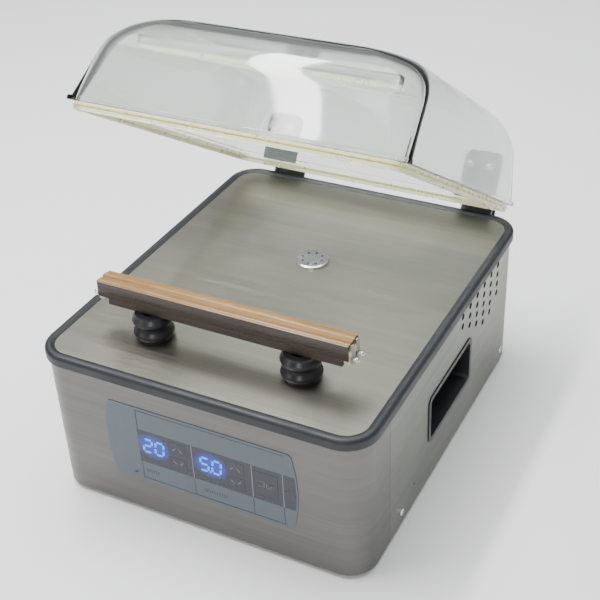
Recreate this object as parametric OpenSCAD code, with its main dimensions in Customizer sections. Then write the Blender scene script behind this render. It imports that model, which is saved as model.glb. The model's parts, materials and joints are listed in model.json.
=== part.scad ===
// Chamber vacuum sealer: stainless housing, clear hinged lid, lifting seal bar.
// Millimetres. The modules stand on the housing's own centre; in_frame() moves them to the
// centre of the whole footprint, lid and hinges included. +Z up, -Y is the front.

/* [Housing] */
// Width of the housing over its side panels
body_w = 310; // [300:1:318]
// Depth of the housing from front face to rear panel
body_d = 371; // [366:1:380]
// Height of the worktop above the resting plane
deck_z = 152; // [150:1:160]
// Height of the rubber feet
foot_h = 5; // [4:0.5:7]
// Plan radius of the housing corners
corner_r = 26; // [24:1:30]
// Thickness of the housing sheet
sheet = 1.2; // [1:0.1:1.5]
// Distance from the front face back to the panel seam
seam_y = 52.5; // [48:0.5:56]

/* [Worktop trim] */
// How far the trim stands out from the housing
trim_proud = 3; // [2.6:0.1:4]
// Width of the trim seen from above
trim_w = 9; // [8:0.5:10]
// Height of the trim skirt below the worktop surface
trim_skirt = 8; // [6:0.5:9]
// Height of the trim bead above the worktop surface
trim_bead = 2; // [1.5:0.1:2.2]

/* [Lid] */
// Width of the lid flange
lid_w = 307; // [303:1:308]
// Front edge of the closed lid flange along Y
lid_front = -171; // [-172:0.5:-169]
// Rear edge of the closed lid flange along Y
lid_rear = 162.5; // [161:0.5:163]
// Corner radius of the lid flange
flange_r = 12; // [10:1:14]
// Height of the dome above the flange
dome_h = 83; // [82:0.5:85]
// Thickness of the clear wall
dome_wall = 6; // [5:0.5:6.5]
// Radius blending the top into the front and side walls
dome_blend = 41; // [38:1:46]
// Radius blending the top into the rear wall
dome_rear_blend = 41; // [38:1:41]
// Corner radius of the dome at the flange
dome_foot_r = 14; // [13:1:16]
// Corner radius of the dome at its top
dome_top_r = 36; // [30:1:40]
// Resting open angle of the lid, in degrees
lid_open = 33; // [31:0.5:34]
// Height of the lid gasket
gasket_h = 7; // [6.5:0.1:7.5]

/* [Seal bar] */
// Length of the seal bar channel
bar_len = 238; // [230:1:244]
// Width of the channel
bar_w = 20; // [19:0.5:21]
// Height of the channel top above the worktop at rest
bar_top = 50; // [49:0.5:50]
// Distance of the bar centre line from the housing centre
bar_y = -124; // [-125:0.5:-122]
// Lift of the bar while sealing
bar_lift = 12; // [10:0.5:12]
// Spacing of the two lifting cylinders
lift_spacing = 144; // [136:2:150]

/* [Control panel] */
// Width of the overlay over its bowed ends
overlay_w = 187; // [184:1:190]
// Height of the overlay
overlay_h = 82; // [80:1:84]
// Travel of each key
key_travel = 0.5; // [0.4:0.05:0.5]

/* [Handle recess and vents] */
// Width of the recess in the side panel
recess_w = 98; // [94:1:102]
// Height of the recess
recess_h = 42; // [38:1:44]
// Depth of the recess
recess_depth = 22; // [18:1:24]
// Diameter of one vent hole
vent_d = 6.5; // [5.5:0.1:7]

/* [Hidden] */

$fn = 48;
eps = 0.02;
gap = 0.3;                                // gap between neighbouring panels
running = 0.05;                           // radial clearance of a shaft in its hole

front_y = -body_d / 2;
rear_y = body_d / 2;
side_x = body_w / 2;
deck_t = 2;
skin_top = deck_z - deck_t;               // top edge of the housing skins
skin_base = foot_h;
tray_t = 1.5;
tray_flange = 24;
tray_fit = 0.1;
seam = front_y + seam_y;
return_x = 117;                           // side panels end here on the rear face

foot_x = 126;
foot_y = 152;
foot_r = 12;

screw_z = 19.5;                           // height of the side panel screws
screw_ys = [-110, 150];
pilot_y = -79.5;                          // spare pilot hole beside the front screw
rear_screw_x = 105;

steel = [0.62, 0.61, 0.57];
dark_blue = [0.20, 0.23, 0.29];
black = [0.06, 0.06, 0.07];
clear = [0.80, 0.86, 0.84, 0.35];
cream = [0.86, 0.83, 0.70];
bright = [0.80, 0.80, 0.80];
grey_blue = [0.40, 0.45, 0.50];

// ---------- shared shapes ----------

// rounded rectangle with true arcs
module round_rect(w, d, r) {
    square([w - 2 * r, d], center = true);
    square([w, d - 2 * r], center = true);
    for (sx = [-1, 1], sy = [-1, 1])
        translate([sx * (w / 2 - r), sy * (d / 2 - r)]) circle(r);
}

// outline of the housing, drawn inwards by inset
module body_outline(inset) {
    round_rect(body_w - 2 * inset, body_d - 2 * inset, corner_r - inset);
}

// housing skin between two heights
module skin(inset, thick, z0, z1) {
    translate([0, 0, z0]) linear_extrude(z1 - z0)
        difference() {
            body_outline(inset);
            body_outline(inset + thick);
        }
}

// a 2D shape in X and Z, extruded towards the front from y0
module to_front(y0, t) {
    translate([0, y0, 0]) rotate([90, 0, 0]) linear_extrude(t) children();
}

// a 2D shape in Y and Z, extruded along +X from x0
module to_right(x0, t) {
    translate([x0, 0, 0]) rotate([90, 0, 90]) linear_extrude(t) children();
}

// cylinder along Y, from y0 towards the rear
module rod_y(x, y0, z, r, h) {
    translate([x, y0, z]) rotate([-90, 0, 0]) cylinder(r = r, h = h);
}

// cylinder along X, from x0 towards +X
module rod_x(x0, y, z, r, h) {
    translate([x0, y, z]) rotate([0, 90, 0]) cylinder(r = r, h = h);
}

// a profile swept around a rounded rectangle; the profile's x = 0 is the outer face
module swept(w, d, r) {
    for (k = [0:3]) {
        across = (k % 2 == 0) ? w / 2 : d / 2;
        along = (k % 2 == 0) ? d / 2 : w / 2;
        rotate([0, 0, 90 * k]) {
            translate([across, along - r, 0]) rotate([90, 0, 0])
                linear_extrude(2 * (along - r)) children();
            translate([across - r, along - r, 0])
                rotate_extrude(angle = 90) translate([r, 0]) children();
        }
    }
}

// turn a closed lid piece to the resting open pose
hinge_y = rear_y + 5.5;
hinge_z = deck_z - 15;
module lid_pose() {
    translate([0, hinge_y, hinge_z]) rotate([-lid_open, 0, 0])
        translate([0, -hinge_y, -hinge_z]) children();
}

// ---------- housing ----------

module bottom_tray() {
    color(steel) difference() {
        union() {
            translate([0, 0, skin_base]) linear_extrude(tray_t) body_outline(sheet + tray_fit);
            skin(sheet + tray_fit, sheet, skin_base, skin_base + tray_flange);
        }
        for (sx = [-1, 1], sy = [-1, 1])
            translate([sx * foot_x, sy * foot_y, 0]) cylinder(r = 2.2, h = 20);
        tray_screw_holes();
        for (i = [-3:3])
            translate([i * 26 - 4, -60, 0]) cube([8, 3, 20]);
    }
}

module tray_screw_holes() {
    for (s = [-1, 1]) {
        for (y = screw_ys) rod_x(s > 0 ? side_x - 6 : -side_x - 6, y, screw_z, 2, 12);
        rod_x(s > 0 ? side_x - 6 : -side_x - 6, pilot_y, screw_z + 7, 1.4, 12);
        rod_y(s * rear_screw_x, rear_y - 6, screw_z, 2, 12);
    }
}

module rubber_feet() {
    color(black) for (sx = [-1, 1], sy = [-1, 1])
        translate([sx * foot_x, sy * foot_y, 0]) rotate_extrude()
            polygon([[2.2, 2], [5, 2], [5, 0], [foot_r - 2, 0], [foot_r - 0.6, 0.8],
                     [foot_r - 1.2, foot_h], [2.2, foot_h]]);
}

module foot_screws() {
    color(bright) for (sx = [-1, 1], sy = [-1, 1])
        translate([sx * foot_x, sy * foot_y, 0]) {
            translate([0, 0, 0.4]) cylinder(r = 4.2, h = 1.6);
            translate([0, 0, 1.9]) cylinder(r = 2, h = foot_h + 4);
            translate([0, 0, skin_base + tray_t]) difference() {
                cylinder(r = 4, h = 3, $fn = 6);
                translate([0, 0, -1]) cylinder(r = 1.9, h = 5);
            }
        }
}

aperture_x = [-56, 82];
aperture_z = [64.5, 98.5];

module front_housing() {
    color(steel) difference() {
        intersection() {
            skin(0, sheet, skin_base, skin_top);
            translate([-body_w, front_y - 1, 0]) cube([2 * body_w, seam_y + 1 - gap / 2, 200]);
        }
        translate([aperture_x[0], front_y - 1, aperture_z[0]])
            cube([aperture_x[1] - aperture_x[0], 4, aperture_z[1] - aperture_z[0]]);
    }
}

recess_y = 5;
recess_z = 72.5;
recess_edge = 2.5;                        // rim of the recess moulding over the panel
recess_wall = 2;

vent_rows = [2, 3, 4, 5, 5, 4];
vent_y0 = 33;
vent_dy = 19.2;
vent_z0 = deck_z - 17.5;
vent_dz = 10.6;

module vent_holes() {
    for (i = [0:len(vent_rows) - 1]) for (j = [0:vent_rows[i] - 1])
        rod_x(side_x - 4, vent_y0 + i * vent_dy, vent_z0 - j * vent_dz, vent_d / 2, 8);
}

module side_panel() {
    difference() {
        skin(0, sheet, skin_base, skin_top);
        translate([-body_w, front_y - 10, 0]) cube([2 * body_w, seam_y + 10 + gap / 2, 200]);
        translate([-body_w, front_y - 10, 0])
            cube([body_w + 60, body_d + 20, 200]);
        translate([0, rear_y - 10, 0]) cube([return_x, 20, 200]);
        to_right(side_x - 4, 8) translate([recess_y, recess_z])
            round_rect(recess_w + 2 * recess_wall + 0.4, recess_h + 2 * recess_wall + 0.4, 6);
        vent_holes();
        for (y = screw_ys) rod_x(side_x - 6, y, screw_z, 2, 12);
        rod_x(side_x - 6, pilot_y, screw_z + 7, 1.4, 12);
    }
}

module side_panel_right() {
    color(steel) side_panel();
}

module side_panel_left() {
    color(steel) mirror([1, 0, 0]) side_panel();
}

inlet_x = -82;
inlet_z = 46;
switch_x = -82;
switch_z = 88;
fuse_x = -44;
fuse_z = 46;
exhaust_x = 70;
exhaust_z = 54;

module rear_panel() {
    color(steel) difference() {
        translate([-return_x + gap, rear_y - sheet, skin_base])
            cube([2 * (return_x - gap), sheet, skin_top - skin_base]);
        translate([inlet_x - 14.2, rear_y - 5, inlet_z - 10.2]) cube([28.4, 10, 20.4]);
        for (s = [-1, 1]) {
            rod_y(inlet_x + s * 20, rear_y - 5, inlet_z, 1.6, 10);
            rod_y(s * rear_screw_x, rear_y - 6, screw_z, 2, 12);
        }
        translate([switch_x - 14, rear_y - 5, switch_z - 10]) cube([28, 10, 20]);
        rod_y(fuse_x, rear_y - 5, fuse_z, 6.2, 10);
        for (i = [-4:4], j = [-2:2])
            rod_y(exhaust_x + i * 9, rear_y - 5, exhaust_z + j * 9, 2.6, 10);
    }
}

module recess_shell() {
    // moulded tray with a rim over the panel and a deeper finger lip at the top
    difference() {
        union() {
            to_right(side_x - recess_depth - recess_wall, recess_depth + recess_wall)
                translate([recess_y, recess_z])
                round_rect(recess_w + 2 * recess_wall, recess_h + 2 * recess_wall, 5.8);
            to_right(side_x, 1) translate([recess_y, recess_z])
                round_rect(recess_w + 2 * recess_wall + 2 * recess_edge,
                           recess_h + 2 * recess_wall + 2 * recess_edge, 7);
        }
        to_right(side_x - recess_depth, recess_depth + 5) translate([recess_y, recess_z])
            round_rect(recess_w, recess_h, 4);
    }
}

module handle_recess_right() {
    color(black) recess_shell();
}

module handle_recess_left() {
    color(black) mirror([1, 0, 0]) recess_shell();
}

// pan head screw along +X with its head seated at x = 0
module pan_screw() {
    rotate([0, 90, 0]) difference() {
        union() {
            cylinder(r = 3.3, h = 1.4);
            translate([0, 0, 1.4]) cylinder(r1 = 3.3, r2 = 2.2, h = 0.7);
            translate([0, 0, -7]) cylinder(r = 1.9, h = 7.5);
        }
        for (a = [0, 90]) rotate([0, 0, a]) translate([-1.7, -0.35, 1.3]) cube([3.4, 0.7, 2]);
    }
}

module panel_screws() {
    color(bright) {
        for (y = screw_ys) {
            translate([side_x, y, screw_z]) pan_screw();
            mirror([1, 0, 0]) translate([side_x, y, screw_z]) pan_screw();
        }
        for (s = [-1, 1])
            translate([s * rear_screw_x, rear_y, screw_z]) rotate([0, 0, 90]) pan_screw();
    }
}

suction_y = 40;

module worktop() {
    color(steel) difference() {
        translate([0, 0, skin_top]) linear_extrude(deck_t) body_outline(0);
        for (s = [-1, 1])
            translate([s * lift_spacing / 2, bar_y, skin_top - 1]) cylinder(r = 8.2, h = 5);
        translate([0, suction_y, skin_top - 1]) cylinder(r = 9.2, h = 5);
    }
}

function bead_arc(n) = [for (i = [0:n]) let(a = 90 * i / n)
    [-3.8 + 3.8 * cos(a), deck_z + trim_bead - 3.8 + 3.8 * sin(a)]];

module trim_profile() {
    polygon(concat([[-trim_proud + 0.05, deck_z - trim_skirt], [0, deck_z - trim_skirt]],
                   bead_arc(6),
                   [[-5.4, deck_z + trim_bead], [-7.2, deck_z + 0.6 * trim_bead],
                    [-trim_w, deck_z + 0.2], [-trim_w, deck_z],
                    [-trim_proud + 0.05, deck_z]]));
}

module edge_trim() {
    color(dark_blue)
        swept(body_w + 2 * trim_proud, body_d + 2 * trim_proud, corner_r + trim_proud)
            trim_profile();
}

module suction_port() {
    color(bright) translate([0, suction_y, 0]) difference() {
        union() {
            translate([0, 0, deck_z]) cylinder(r = 16, h = 2.2);
            translate([0, 0, deck_z + 2.2]) cylinder(r1 = 16, r2 = 14.5, h = 0.8);
            translate([0, 0, deck_z - 18]) cylinder(r = 9, h = 18);
        }
        translate([0, 0, deck_z - 19]) cylinder(r = 6, h = 20);
        for (a = [0:45:315]) rotate([0, 0, a]) {
            translate([10, 0, deck_z - 1]) cylinder(r = 1.5, h = 6);
            translate([0, -1.5, deck_z - 1 + eps]) cube([10, 3, 2.4]);
        }
    }
}

// ---------- control panel ----------

overlay_x = 3;
overlay_z = 81;
overlay_bow = 5.5;
film_t = 0.5;
band_left = -58;
band_z = [62.5, 98.5];
band_margin = 1.6;
key_gap = 0.15;
key_x = [-18.5, 38];
key_z = [88.5, 72];
key_size = [17, 13];
stop_pos = [67, 80.5];
stop_size = [22, 26];

module overlay_outline(inset) {
    bow_r = (pow(overlay_h / 2, 2) + pow(overlay_bow, 2)) / (2 * overlay_bow);
    offset(r = 5) offset(delta = -5 - inset) translate([overlay_x, overlay_z]) intersection() {
        square([overlay_w, overlay_h], center = true);
        translate([overlay_w / 2 - bow_r, 0]) circle(bow_r, $fn = 120);
        translate([-overlay_w / 2 + bow_r, 0]) circle(bow_r, $fn = 120);
    }
}

module band_outline() {
    intersection() {
        overlay_outline(band_margin);
        translate([band_left, band_z[0]])
            square([overlay_w, band_z[1] - band_z[0]]);
    }
}

module control_overlay() {
    color(grey_blue) to_front(front_y, film_t) difference() {
        overlay_outline(0);
        offset(delta = 0.05) band_outline();
    }
}

module key_windows() {
    for (x = key_x, z = key_z)
        translate([x, z]) square([key_size[0] + 2 * key_gap, key_size[1] + 2 * key_gap],
                                 center = true);
    translate(stop_pos) square([stop_size[0] + 2 * key_gap, stop_size[1] + 2 * key_gap],
                               center = true);
}

module display_window() {
    color([0.10, 0.12, 0.18]) to_front(front_y, film_t) difference() {
        band_outline();
        key_windows();
    }
}

// seven segment figures; each row lists segments a to g
SEGMENTS = [
    [1, 1, 1, 1, 1, 1, 0], [0, 1, 1, 0, 0, 0, 0], [1, 1, 0, 1, 1, 0, 1], [1, 1, 1, 1, 0, 0, 1],
    [0, 1, 1, 0, 0, 1, 1], [1, 0, 1, 1, 0, 1, 1]
];
digit_h = 14;
digit_w = 8;
digit_slant = 5;
segment_w = 1.9;

module figure(n) {
    s = SEGMENTS[n];
    h = digit_h / 2;
    w = digit_w;
    level = segment_w / 2 + 0.25;
    multmatrix([[1, tan(digit_slant), 0, 0], [0, 1, 0, 0], [0, 0, 1, 0], [0, 0, 0, 1]]) {
        for (k = [[0, 2 * h], [6, h], [3, 0]])
            if (s[k[0]] == 1) translate([level, k[1] - segment_w / 2])
                square([w - 2 * level, segment_w]);
        for (k = [[1, w, h], [2, w, 0], [4, 0, 0], [5, 0, h]])
            if (s[k[0]] == 1) translate([k[1] - segment_w / 2, k[2] + level])
                square([segment_w, h - 2 * level]);
    }
}

digits_z = 75.3;
time_x = -53;
seal_x = 3.6;
digit_pitch = 11.8;

module display_digits() {
    color([0.25, 0.55, 1.0]) to_front(front_y - film_t, 0.15) {
        translate([time_x, digits_z]) figure(2);
        translate([time_x + digit_pitch, digits_z]) figure(0);
        translate([seal_x, digits_z]) figure(5);
        translate([seal_x + digit_pitch, digits_z]) figure(0);
        translate([seal_x + digit_w + 2, digits_z]) circle(0.9);
    }
}

board_y = front_y + 7.5;                  // front face of the board
board_t = 1.6;

module control_board() {
    color([0.10, 0.35, 0.18]) translate([-84, board_y, 44]) cube([172, board_t, 76]);
    // display blocks, key switches and standoffs
    color([0.10, 0.10, 0.12]) {
        for (x = [time_x - 1, seal_x - 1])
            translate([x, front_y + 0.1, digits_z - 2]) cube([23.5, board_y - front_y - 0.1, 18]);
        for (p = concat([for (x = key_x, z = key_z) [x, z]], [stop_pos]))
            translate([p[0] - 3, board_y - 3.6, p[1] - 3]) cube([6, 3.6, 6]);
        for (x = [-78, 82], z = [50, 114]) difference() {
            rod_y(x, front_y + sheet + eps, z, 3, board_y - front_y - sheet - eps);
            rod_y(x, front_y + sheet, z, 1.3, 20);
        }
    }
    color(black) for (x = [-40, 0, 30])
        translate([x, board_y + board_t, 60]) cube([18, 5, 12]);
}

// a key: pad in the overlay window and a stem to its switch
module key_pad(p, size) {
    color([0.13, 0.15, 0.21]) {
        translate([p[0] - size[0] / 2, front_y - film_t - 0.05, p[1] - size[1] / 2])
            cube([size[0], 1.1, size[1]]);
        rod_y(p[0], front_y + 0.5, p[1], 2, board_y - 3.6 - front_y - 0.5 - key_travel - 0.1);
    }
}

module key_time_up() { key_pad([key_x[0], key_z[0]], key_size); }
module key_time_down() { key_pad([key_x[0], key_z[1]], key_size); }
module key_seal_up() { key_pad([key_x[1], key_z[0]], key_size); }
module key_seal_down() { key_pad([key_x[1], key_z[1]], key_size); }
module key_stop() { key_pad(stop_pos, stop_size); }

// ---------- rear fittings ----------

socket_depth = 17;

module power_inlet() {
    color(black) difference() {
        union() {
            translate([inlet_x - 25, rear_y, inlet_z - 11.5]) cube([50, 2.4, 23]);
            translate([inlet_x - 14, rear_y - 20, inlet_z - 10]) cube([28, 20 + eps, 20]);
        }
        translate([inlet_x - 12, rear_y + 2.4 - socket_depth, inlet_z - 8])
            cube([24, socket_depth + 1, 16]);
        for (s = [-1, 1]) rod_y(inlet_x + s * 20, rear_y - 1, inlet_z, 1.6, 6);
    }
    color(bright) {
        for (p = [[-7, -2.5], [7, -2.5], [0, 1.5]])
            translate([inlet_x + p[0] - 1, rear_y - 26, inlet_z + p[1] - 2]) cube([2, 22.5, 4]);
        for (s = [-1, 1]) translate([inlet_x + s * 20, 0, inlet_z]) {
            rod_y(0, rear_y + 2.4, 0, 2.8, 1.2);
            rod_y(0, rear_y - 6, 0, 1.5, 8.5);
        }
    }
}

rocker_y = rear_y - 3;

module switch_frame() {
    color(black) {
        difference() {
            union() {
                translate([switch_x - 16, rear_y, switch_z - 12]) cube([32, 1.8, 24]);
                translate([switch_x - 13.8, rear_y - 22, switch_z - 9.8]) cube([27.6, 22 + eps, 19.6]);
            }
            translate([switch_x - 11, rear_y - 14, switch_z - 8]) cube([22, 20, 16]);
        }
        // pivot studs inside the frame
        for (s = [-1, 1]) rod_x(switch_x + (s > 0 ? 9.5 : -11.2), rocker_y, switch_z, 1.6, 1.7);
    }
    color(bright) for (i = [-1, 1])
        translate([switch_x + i * 6 - 2.4, rear_y - 31, switch_z - 0.4]) cube([4.8, 9, 0.8]);
}

// rocker with a shallow V face, pivoting on the frame's studs
rocker_tilt = 14;
module rocker_switch() {
    color([0.55, 0.08, 0.06]) difference() {
        to_right(switch_x - 10.6, 21.2) translate([rocker_y, switch_z]) rotate(-rocker_tilt / 2)
            polygon([[-2.5, -4], [-2.5, 4], [3.2, 6.6], [5.4, 6.8], [4.0, 0], [5.4, -6.8],
                     [3.2, -6.6]]);
        rod_x(switch_x - 11, rocker_y, switch_z, 1.6 + running, 1.6);
        rod_x(switch_x + 9.4, rocker_y, switch_z, 1.6 + running, 1.6);
    }
}

module fuse_holder() {
    color(black) difference() {
        union() {
            rod_y(fuse_x, rear_y, fuse_z, 8.5, 2);
            rod_y(fuse_x, rear_y - 29, fuse_z, 6, 29 + eps);
            rod_y(fuse_x, rear_y + 2, fuse_z, 6.5, 7);
        }
        translate([fuse_x - 5, rear_y + 7, fuse_z - 0.6]) cube([10, 4, 1.2]);
    }
}

// ---------- seal bar and its lifting gear ----------

base_bottom = deck_z + 26;
channel_z = [deck_z + 35, deck_z + bar_top];
piston_z = 106;
cylinder_z = [101, skin_top];
rod_r = 4;
piston_r = 12;

module lift_cylinders() {
    color([0.55, 0.56, 0.58]) for (s = [-1, 1]) translate([s * lift_spacing / 2, bar_y, 0])
        difference() {
            union() {
                translate([0, 0, cylinder_z[0]]) cylinder(r = 16, h = cylinder_z[1] - cylinder_z[0]);
                translate([0, 0, cylinder_z[1] - 5]) cylinder(r = 22, h = 5);
                translate([0, 0, cylinder_z[1]]) cylinder(r = 8, h = deck_t + 1);
            }
            translate([0, 0, cylinder_z[0] - 1]) cylinder(r = rod_r + running, h = 60);
            translate([0, 0, cylinder_z[0] + 3]) cylinder(r = piston_r + running, h = 30);
        }
}

module lift_rods() {
    color(bright) for (s = [-1, 1]) translate([s * lift_spacing / 2, bar_y, 0]) {
        translate([0, 0, piston_z]) cylinder(r = rod_r, h = base_bottom - piston_z);
        translate([0, 0, piston_z]) cylinder(r = piston_r, h = 6);
        translate([0, 0, base_bottom - 1]) cylinder(r = 2.4, h = 8);
    }
}

bellows_r = 18;
bellows_folds = 2;

module lift_bellows() {
    fold = (base_bottom - deck_z) / bellows_folds;
    outer = [for (i = [0:8 * bellows_folds])
        [bellows_r - 1.5 - 1.5 * cos(45 * i), deck_z + i * fold / 8]];
    color(black) for (s = [-1, 1]) translate([s * lift_spacing / 2, bar_y, 0])
        rotate_extrude() polygon(concat(outer, [[9, base_bottom], [9, deck_z]]));
}

module bar_channel() {
    color([0.62, 0.42, 0.20]) translate([-bar_len / 2, bar_y, 0]) difference() {
        translate([0, -bar_w / 2, channel_z[0]])
            cube([bar_len, bar_w, channel_z[1] - channel_z[0]]);
        translate([-1, -bar_w / 2 + 1.5, channel_z[0] - 1])
            cube([bar_len + 2, bar_w - 3, channel_z[1] - channel_z[0] - 0.5]);
    }
}

insulator_z = [deck_z + 39, deck_z + 44];
lug_size = [6, 6, 8];
terminal_y = 4.8;

module bar_insulator() {
    width = bar_w - 3 - 0.2;
    color(cream) difference() {
        union() {
            translate([-bar_len / 2 - 2, bar_y - width / 2, insulator_z[0]])
                cube([bar_len + 4, width, insulator_z[1] - insulator_z[0]]);
            for (sx = [-1, 1], sy = [-1, 1])
                translate([sx * (bar_len / 2 - 2) - lug_size[0] / 2,
                           bar_y + sy * terminal_y - lug_size[1] / 2,
                           insulator_z[0] - lug_size[2] + eps]) cube(lug_size);
        }
        for (sx = [-1, 1], sy = [-1, 1])
            rod_x(sx * (bar_len / 2 - 2) - 4, bar_y + sy * terminal_y, insulator_z[0] - 4, 1.6, 8);
    }
}

module bar_base() {
    color([0.20, 0.15, 0.12]) difference() {
        translate([-112, bar_y - 6.5, base_bottom]) cube([224, 13, insulator_z[0] - base_bottom]);
        for (s = [-1, 1])
            translate([s * lift_spacing / 2, bar_y, base_bottom - 1]) cylinder(r = 2.5, h = 9);
    }
}

module bar_terminals() {
    color(bright) for (sx = [0, 1]) mirror([sx, 0, 0]) for (sy = [-1, 1])
        translate([0, bar_y + sy * terminal_y, insulator_z[0] - 4]) {
            rod_x(bar_len / 2 - 6, 0, 0, 1.5, 12);
            translate([bar_len / 2 + 2.6, 0, 0]) rotate([0, 90, 0]) cylinder(r = 3.2, h = 2, $fn = 6);
            translate([bar_len / 2 + 5.2, 0, 0]) sphere(r = 2.6);
        }
}

wire_w = 3;
wire_t = 0.3;

module heating_wires() {
    x_end = bar_len / 2 + 2.05;
    color(bright) for (sy = [-1, 1]) {
        y = bar_y + sy * terminal_y;
        translate([-bar_len / 2 - 2.05 - wire_t, y - wire_w / 2, channel_z[1] - 1.5 - wire_t])
            cube([bar_len + 4.1 + 2 * wire_t, wire_w, wire_t]);
        for (sx = [0, 1]) mirror([sx, 0, 0]) difference() {
            translate([x_end, y - wire_w / 2 - 1, insulator_z[0] - 7])
                cube([wire_t, wire_w + 2, channel_z[1] - 1.5 - insulator_z[0] + 7]);
            rod_x(x_end - 1, y, insulator_z[0] - 4, 1.6, 3);
        }
    }
}

// ---------- lid ----------

flange_t = 4;
flange_z = deck_z + 0.3 + gasket_h;
dome_base = flange_z + flange_t;
wall_edge = 2;
rear_edge = 0.2;
front_draft = 0.23;
side_draft = 0.12;
gasket_inset = 5;
gasket_r = 12;
RING_STEPS = 9;

function ring(hw, y0, y1, r, z) = [for (q = [0:3], i = [0:RING_STEPS])
    let(a = 90 * q + 90 * i / RING_STEPS,
        cx = (q == 0 || q == 3) ? hw - r : r - hw,
        cy = (q < 2) ? y1 - r : y0 + r)
    [cx + r * cos(a), cy + r * sin(a), z]];

function blend_in(r, u) = u <= 0 ? 0 : r - sqrt(max(r * r - u * u, 0));

// ring of the dome wall at height t above the flange; wall is how far inside the outer skin
function dome_ring(t, wall) =
    let(height = max(t, 0),
        in = wall_edge + wall + blend_in(dome_blend - wall, t - dome_h + dome_blend),
        rear = rear_edge + wall + blend_in(dome_rear_blend - wall, t - dome_h + dome_rear_blend),
        corner = dome_foot_r + (dome_top_r - dome_foot_r) * height / dome_h)
    ring(lid_w / 2 - in - side_draft * height, lid_front + in + front_draft * height,
        lid_rear - rear, corner - wall, dome_base + t);

DOME_LEVELS = [for (a = [0:7.5:90]) a];
function level(a, wall) = dome_h - dome_blend + (dome_blend - wall) * sin(a);

module dome_shell() {
    inner = [for (i = [len(DOME_LEVELS) - 1:-1:0])
        dome_ring(level(DOME_LEVELS[i], dome_wall), dome_wall)];
    outer = [for (a = DOME_LEVELS) dome_ring(level(a, 0), 0)];
    rings = concat(inner, [dome_ring(-flange_t, dome_wall)],
        [ring(lid_w / 2, lid_front, lid_rear, flange_r, flange_z),
         ring(lid_w / 2, lid_front, lid_rear, flange_r, dome_base),
         dome_ring(0, 0)], outer);
    n = len(rings[0]);
    m = len(rings);
    polyhedron(
        points = [for (r = rings) each r],
        faces = concat([[for (i = [0:n - 1]) i]],
            [for (j = [0:m - 2], i = [0:n - 1]) let(k = (i + 1) % n)
                [j * n + i, (j + 1) * n + i, (j + 1) * n + k, j * n + k]],
            [[for (i = [n - 1:-1:0]) (m - 1) * n + i]]));
}

hinge_x = 108;
plate_w = 38;
plate_top = deck_z + 56;
plate_t = 2.5;
bolt_z = deck_z + 40;
bolt_dx = 10;
arm_w = 36;
arm_t = 3;
arm_top = deck_z + 50;
arm_y = lid_rear + plate_t;
pin_r = 3;
knuckle_r = 5;

module at_bolts() {
    for (s = [-1, 1], d = [-1, 1]) translate([s * hinge_x + d * bolt_dx, 0, bolt_z]) children();
}

module lid_dome() {
    color(clear) lid_pose() difference() {
        dome_shell();
        at_bolts() rod_y(0, lid_rear - dome_wall - 4, 0, 2.8, dome_wall + 8);
    }
}

module lid_gasket() {
    color([0.90, 0.84, 0.62]) lid_pose()
        translate([0, (lid_front + lid_rear) / 2, flange_z - gasket_h])
        swept(lid_w - 2 * gasket_inset, lid_rear - lid_front - 2 * gasket_inset,
              gasket_r)
            polygon([[0, gasket_h], [0, 0.9], [-0.9, 0], [-3, 0], [-4.2, 1.2], [-5, 3.4],
                     [-9, 4.6], [-9, gasket_h]]);
}

module hinge_plates() {
    height = plate_top - flange_z - 1;
    color(steel) lid_pose() difference() {
        for (s = [-1, 1]) translate([s * hinge_x, 0, 0])
            to_front(lid_rear + plate_t, plate_t) translate([0, flange_z + 1]) {
                translate([-plate_w / 2, 0]) square([plate_w, height - 8]);
                translate([-plate_w / 2 + 8, 0]) square([plate_w - 16, height]);
                for (d = [-1, 1]) translate([d * (plate_w / 2 - 8), height - 8]) circle(8);
            }
        at_bolts() rod_y(0, lid_rear - 1, 0, 2.7, plate_t + 2);
    }
}

knuckle_from = -arm_w / 2;
knuckle_to = 8;

// one hinge arm in the closed pose, seen from its side
module arm_profile(with_leg) {
    difference() {
        union() {
            if (with_leg) {
                translate([arm_y, flange_z]) square([arm_t, arm_top - flange_z]);
                translate([arm_y, flange_z - 2]) square([hinge_y + knuckle_r - arm_y, arm_t]);
                translate([hinge_y + knuckle_r - arm_t, hinge_z + 9])
                    square([arm_t, flange_z - 1 - hinge_z - 9]);
            } else {
                translate([hinge_y + knuckle_r - arm_t, hinge_z]) square([arm_t, 10]);
                translate([hinge_y, hinge_z]) circle(knuckle_r);
            }
        }
        translate([hinge_y, hinge_z]) circle(pin_r + running);
    }
}

module hinge_arms() {
    color(black) lid_pose() for (m = [0, 1]) mirror([m, 0, 0]) difference() {
        translate([hinge_x, 0, 0]) {
            to_right(-arm_w / 2, arm_w) arm_profile(true);
            to_right(knuckle_from, knuckle_to - knuckle_from) arm_profile(false);
        }
        at_bolts() rod_y(0, arm_y - 1, 0, 2.7, arm_t + 2);
    }
}

module plate_bolts() {
    color(bright) lid_pose() at_bolts() {
        rod_y(0, lid_rear - dome_wall - 4, 0, 2.5, dome_wall + 4 + plate_t + arm_t);
        rod_y(0, arm_y + arm_t, 0, 4.6, 2.4);
    }
}

module cap_nuts() {
    seat = lid_rear - rear_edge - dome_wall;
    color(bright) lid_pose() at_bolts() difference() {
        union() {
            translate([0, seat - 3.6, 0]) rotate([-90, 0, 0]) cylinder(r = 4.8, h = 3.5, $fn = 6);
            translate([0, seat - 3.6, 0]) sphere(r = 3.9);
        }
        rod_y(0, seat - 4.4, 0, 2.6, 6);
        translate([-6, seat - 0.1, -6]) cube([12, 6, 12]);
    }
}

// clear rail bonded in the front of the dome, carrying the silicone counter strip
strip_z = deck_z + bar_top + bar_lift + 0.5;
strip_h = 4;
rail_h = 8;
rail_len = 236;
rail_post = 17;                           // from the rail's top into the dome's wall

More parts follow.
